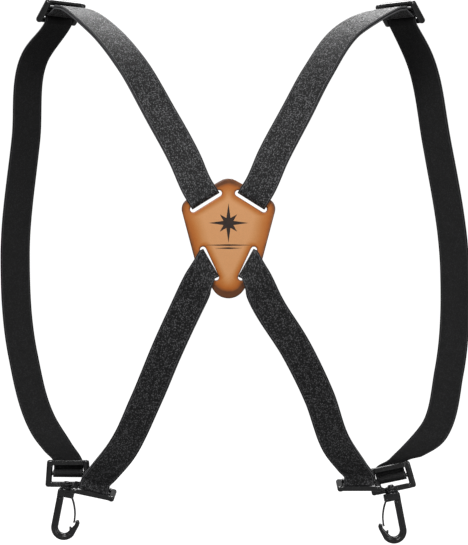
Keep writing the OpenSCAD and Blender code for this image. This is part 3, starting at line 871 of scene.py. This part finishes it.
def makeYoke():
    rim, slots = yokeOutlines()
    yoke = outlinePlate("yoke_leather", rim, -shield["thick"], 0)
    for outline in slots:
        cutAway(yoke, outlinePlate("slotCutter", outline, -8, 5))
    softened(yoke, yokeStyle["rim"], angle=40)
    moulded(yoke, yokeStyle["voxel"])
    w, h = shield["width"] / 2, shield["height"] / 2
    for v in yoke.data.vertices:
        x, y, z = v.co / mm
        front = min(1, max(0, -y / shield["thick"]))
        bulge = max(0, 1 - (x / w) ** 2 - ((z - yokeStyle["crownZ"]) / h) ** 2)
        v.co.y -= front * bulge * yokeStyle["crown"] * mm
    pressed = -shield["thick"] - yokeStyle["crown"] + yokeStyle["stampDeep"]
    stamps = [outlinePlate("star", starOutline(), -8, pressed)]
    for drop, part in yokeStyle["lines"]:
        z = yokeStyle["lineAt"] - drop
        half, thick = yokeStyle["lineLong"] / 2 * part, yokeStyle["lineThick"]
        outline = [(-half, z), (0, z - thick), (half, z), (0, z + thick)]
        stamps.append(outlinePlate("line", outline, -8, pressed))
    yoke.data.materials.append(materials["leather"])
    for cutter in stamps:
        cutter.data.materials.append(materials["stamp"])
        cutAway(yoke, cutter, material_mode="TRANSFER")
    spots = np.array([(v.co.x / mm, v.co.z / mm) for v in yoke.data.vertices])
    near = awayFrom(rim, spots) / yokeStyle["rimReach"]
    # darker towards the top and bottom ends
    for low, high, part in yokeStyle["darkerEnds"]:
        near -= part * np.clip((spots[:, 1] - low) / (high - low), 0, 1)
    for outline in slots:
        fade = awayFrom(outline, spots) / yokeStyle["rimReach"] * yokeStyle["slotFade"]
        near = np.minimum(near, yokeStyle["slotDark"] + fade)
    attribute = yoke.data.attributes.new("rimDistance", "FLOAT", "POINT")
    attribute.data.foreach_set("value", np.clip(near, 0, 1).astype(np.float32))
    only(yoke)
    bpy.ops.object.shade_smooth_by_angle(angle=math.radians(45))
    dressed(yoke, None, "harness", "tan_leather", "yoke")
    print("yoke made:", len(yoke.data.polygons), "faces")


makeYoke()


# sliders and buckles
glide = dict(railWide=5.2, railHigh=4.8, railGap=0.9, railRound=2.0, endWide=4.6, endHigh=4.0, endRound=1.5,
             ridges=4, ridge=0.42, ridgeStep=1.05, ridgeSpare=1.5, shoulderLift=0.8, shoulderOut=1.0)


def threeBars(splay=0, lift=0.5, endOut=0.7):
    half = webbing["width"] / 2 + glide["railGap"] + glide["railWide"] / 2
    long = 2 * shoulder["barPitch"] + glide["endWide"] + 2 * endOut
    rail = (glide["railWide"], long, glide["railHigh"])
    parts = [addBox(rail, (s * half, 0, lift / 2), glide["railRound"], s * splay) for s in (-1, 1)]
    for end in (-1, 1):
        y = end * (shoulder["barPitch"] + endOut)
        parts.append(addBox((2 * half, glide["endWide"], glide["endHigh"]), (0, y, lift), glide["endRound"]))
        for i in range(glide["ridges"]):       # grip ridges along the end bars
            at = (0, y + (i - (glide["ridges"] - 1) / 2) * glide["ridgeStep"], lift + glide["endHigh"] / 2)
            parts.append(addRod(glide["ridge"], webbing["width"] + glide["ridgeSpare"], at, vertices=12))
    parts.append(addRod(shoulder["barRadius"], 2 * half, (0, 0, 0)))
    return parts


def makeSlider(k):
    side = sides[k]
    bars = threeBars(lift=glide["shoulderLift"], endOut=glide["shoulderOut"])
    slider = joined(side + "_shoulder_slider", bars)
    moulded(slider)
    turn = turnMatrix("Z", -shoulder["yaw"]) @ turnMatrix("X", -shoulder["pitch"])
    settle(slider, k, Matrix.Translation(crestAt(k)) @ turn)
    dressed(slider, materials["plastic"], side + "_slider_set", "black_plastic", side + "_slider")


def clipMatrix(k):
    return Matrix.Translation(clipAt(k)) @ turnMatrix("Y", -hip["lean"])


def placed(parts, matrix):            # moves loose parts, given in mm, before they are joined
    m = matrix.copy()
    m.translation = m.translation * mm
    for part in parts:
        part.data.transform(m)
    return parts


def bridgeRod(points, radii):         # a bent arm: a chain of balls and links, run together later
    parts = []
    for a, b, ra, rb in zip(points, points[1:], radii, radii[1:]):
        a, b = Vector(a), Vector(b)
        way = (b - a).to_track_quat("Z", "Y").to_euler()
        freshStart()
        bpy.ops.mesh.primitive_cone_add(vertices=20, radius1=ra * mm, radius2=rb * mm,
                                        depth=(b - a).length * mm, location=(a + b) / 2 * mm, rotation=way)
        parts.append(bpy.context.object)
        bpy.ops.object.transform_apply(location=True, rotation=True, scale=True)
        bpy.ops.mesh.primitive_uv_sphere_add(segments=20, ring_count=12, radius=rb * mm, location=b * mm)
        parts.append(bpy.context.object)
        bpy.ops.object.transform_apply(location=True, rotation=True, scale=True)
    return parts


post = dict(radius=1.5, gap=0.05, head=2.6, top=6.2, bottom=-6.2, upperHead=4.8, lowerHead=1.3,
            headRound=0.45, eyelet=2, eyeletThick=2, innerEyelet=1.3, outerEyelet=3.6)


def eyeletRing(z):
    return addRod(post["head"] + post["eyelet"], post["eyeletThick"], (0, 0, z), "Z")


def drillForPost(buckle, k, z):
    drill = addRod(post["radius"] + post["gap"], 12, (0, 0, z), "Z", vertices=48)
    cutAway(buckle, placed([drill], clipMatrix(k))[0])


def makeOuterBuckle(k):
    side = sides[k]
    matrix = (Matrix.Translation(clipAt(k) + Vector(hip["outerFromClip"][k]))
              @ turnMatrix("Y", hip["outerTurn"][k]) @ turnMatrix("X", 90))
    parts = placed(threeBars(4), matrix)
    tab = addBox((5, 3, post["eyeletThick"]), (0, 4.2, post["outerEyelet"]), 0.3)
    parts += placed([eyeletRing(post["outerEyelet"]), tab], clipMatrix(k))
    low = onOuter(k, (-hip["outerFromClip"][k][0], -1, -shoulder["barPitch"]))
    parts.append(addBox((6, 5, 2.4), low, 0.6))
    buckle = joined(side + "_outer_hip_buckle", parts)
    moulded(buckle)
    drillForPost(buckle, k, 3)
    settle(buckle, k)
    dressed(buckle, materials["plastic"], "harness", "black_plastic", side + "_outer_buckle")


def makeInnerBuckle(k):
    side = sides[k]
    matrix = (Matrix.Translation(clipAt(k) + Vector(hip["innerFromClip"][k]))
              @ turnMatrix("Y", hip["innerTurn"][k]) @ turnMatrix("X", hip["innerPitch"]))
    parts = placed(threeBars(), matrix)
    parts += placed([eyeletRing(post["innerEyelet"])], clipMatrix(k))
    outer = webbing["width"] / 2 + glide["railGap"] + glide["railWide"]
    corner = onInner(k, (outer - 1.4, -shoulder["barPitch"] * 0.85, 0))
    ring = clipMatrix(k) @ Vector((-post["head"] - 0.8, -0.8, post["innerEyelet"]))
    elbow = corner.lerp(ring, 0.45) + Vector((0, -1.6, 0.5))
    parts += bridgeRod([corner, elbow, ring], [1.5, 1.35, 1.0])
    buckle = joined(side + "_inner_hip_buckle", parts)
    moulded(buckle)
    drillForPost(buckle, k, 1)
    settle(buckle, k)
    dressed(buckle, materials["plastic"], "harness", "black_plastic", side + "_inner_buckle")


# swivel posts and snap hooks
snap = dict(length=43, deep=5.5, bar=5.8, bend=10.8, head=7, roof=4.6, round=1.3, washer=2.9, ridge=0.75,
            nose=((-12.1, 3.4), (-12.3, 5.8), (-11.3, 7.8), (-9.7, 8.4), (-8.7, 7), (-8.6, 4)),
            pin=0.8, knuckle=1.1, slack=0.3, gateThick=1.3, gateTrim=1.5, gateWay=((-9, -11.5), (-11.4, -19)))
bendAt = (-4.5, -(snap["length"] - snap["bend"]))
gateAt = (-(post["head"] + post["gap"] + 2.95), -4.9)
knuckle = snap["pin"] + snap["knuckle"]


def byBend(x, z):
    return (bendAt[0] + x, bendAt[1] + z)


def hookOutline():
    r, bar = snap["bend"], snap["bar"]
    turn = arcPoints(r, 0, -150, 30) + list(snap["nose"]) + arcPoints(r - bar, -150, 0, 20)
    return [(bendAt[0] + r, -1)] + [byBend(x, z) for x, z in turn] + [(bendAt[0] + r - bar, -1)]


def makeHook(k):
    side = sides[k]
    deep = snap["deep"] / 2
    body = outlinePlate("hookBar", hookOutline(), -deep, deep)
    softened(body, snap["round"])
    left, right = gateAt[0] - knuckle, bendAt[0] + snap["bend"]
    parts = [body, addRod(post["head"] + snap["washer"], 2, (0, 0, -1), "Z"),
             addBox((right - left, snap["deep"] + 2, snap["head"] - 1),
                    ((left + right) / 2, 0, -(snap["head"] + 1) / 2), 0.8)]
    spine = snap["bend"] - snap["bar"] / 2
    ridge = [(bendAt[0] + spine, z) for z in (-9, -20, -31)]
    ridge += [byBend(x, z) for x, z in arcPoints(spine, 0, -140, 12)]
    for face in (-1, 1):
        parts += bridgeRod([(x, face * (deep + 0.05), z) for x, z in ridge], [snap["ridge"]] * len(ridge))
    catch = [(bendAt[0] - 5.9, 0, bendAt[1] - 0.6), (bendAt[0] - 5.2, 0, bendAt[1] + 0.9)]
    parts += bridgeRod(catch, [1.3, 0.9])
    hook = joined(side + "_snap_hook", parts)
    moulded(hook)
    cutAway(hook, addRod(post["radius"] + post["gap"], 20, (0, 0, -4), "Z", vertices=48))
    under, roof = snap["head"] + 1, snap["roof"]
    cutAway(hook, addRod(post["head"] + snap["slack"], under - roof, (0, 0, -(under + roof) / 2), "Z"))
    room = knuckle + snap["slack"]
    slot = addBox((5 + room, snap["deep"] - 0.9, under + gateAt[1] + room),
                  (gateAt[0] - 2.5 + room / 2, 0, (gateAt[1] + room - under) / 2), 0.1)
    cutAway(hook, slot)
    cutAway(hook, addRod(snap["pin"] + post["gap"], snap["deep"] + 6, (gateAt[0], 0, gateAt[1]), "Y"))
    settle(hook, k, clipMatrix(k))
    only(hook)
    bpy.ops.object.shade_smooth_by_angle(angle=math.radians(40))
    dressed(hook, materials["plastic"], side + "_hook_set", "black_plastic", side + "_hook")


def makeGate(k):
    side = sides[k]
    wide = snap["deep"] - snap["gateTrim"]
    way = [gateAt, *snap["gateWay"], byBend(-7.7, 6)]
    entries = [[Vector((x, 0, z)), Vector((0, 1, 0)), 0] for x, z in way]
    line = framed(smoothLine(entries, 0.8))
    freshStart()
    bpy.ops.mesh.primitive_grid_add(x_subdivisions=4, y_subdivisions=len(line) - 1, size=1)
    leaf = bpy.context.object
    for v in leaf.data.vertices:
        i, j = v.co.x, round((v.co.y + 0.5) * (len(line) - 1))
        p, w, n, t = line[j]
        v.co = (p + w * i * wide) * mm
    applyModifier(leaf, "SOLIDIFY", thickness=snap["gateThick"] * mm, offset=0)
    softened(leaf, 0.3, 3)
    eye = addRod(knuckle, wide, (gateAt[0], 0, gateAt[1]), "Y")
    lip = addRod(0.85, wide, (bendAt[0] - 7.55, 0, bendAt[1] + 6.2), "Y")
    gate = joined(side + "_gate_leaf", [leaf, eye, lip])
    moulded(gate, 0.2, 2)
    cutAway(gate, addRod(snap["pin"] + post["gap"], 12, (gateAt[0], 0, gateAt[1]), "Y"))
    settle(gate, k, clipMatrix(k))
    dressed(gate, materials["leaf"], side + "_gate", "gate_leaf", side + "_gate")


def makePins(k):
    side = sides[k]
    pin = addRod(snap["pin"], snap["deep"] + 2, (gateAt[0], 0, gateAt[1]), "Y", vertices=40)
    softened(pin, 0.2, 3)
    settle(pin, k, clipMatrix(k))
    pin.name = pin.data.name = side + "_leaf_pin"
    dressed(pin, materials["metal"], side + "_hook_set", "pin_metal", side + "_gate_pin")
    shaft = addRod(post["radius"], post["top"] - post["bottom"] - 1, (0, 0, 0), "Z", vertices=48)
    heads = []
    for low, high in ((post["upperHead"], post["top"]), (post["bottom"], post["bottom"] + post["lowerHead"])):
        head = addRod(post["head"], high - low, (0, 0, (low + high) / 2), "Z", vertices=48)
        softened(head, post["headRound"])
        heads.append(head)
    rivet = joined(side + "_swivel_rivet", [shaft] + heads)
    moulded(rivet, 0.16, 1)
    settle(rivet, k, clipMatrix(k))
    dressed(rivet, materials["metal"], "harness", "pin_metal", side + "_swivel_post")


for k in (0, 1):
    makeSlider(k)
    makeOuterBuckle(k)
    makeInnerBuckle(k)
    makeHook(k)
    makeGate(k)
    makePins(k)
    print(sides[k], "hardware made")
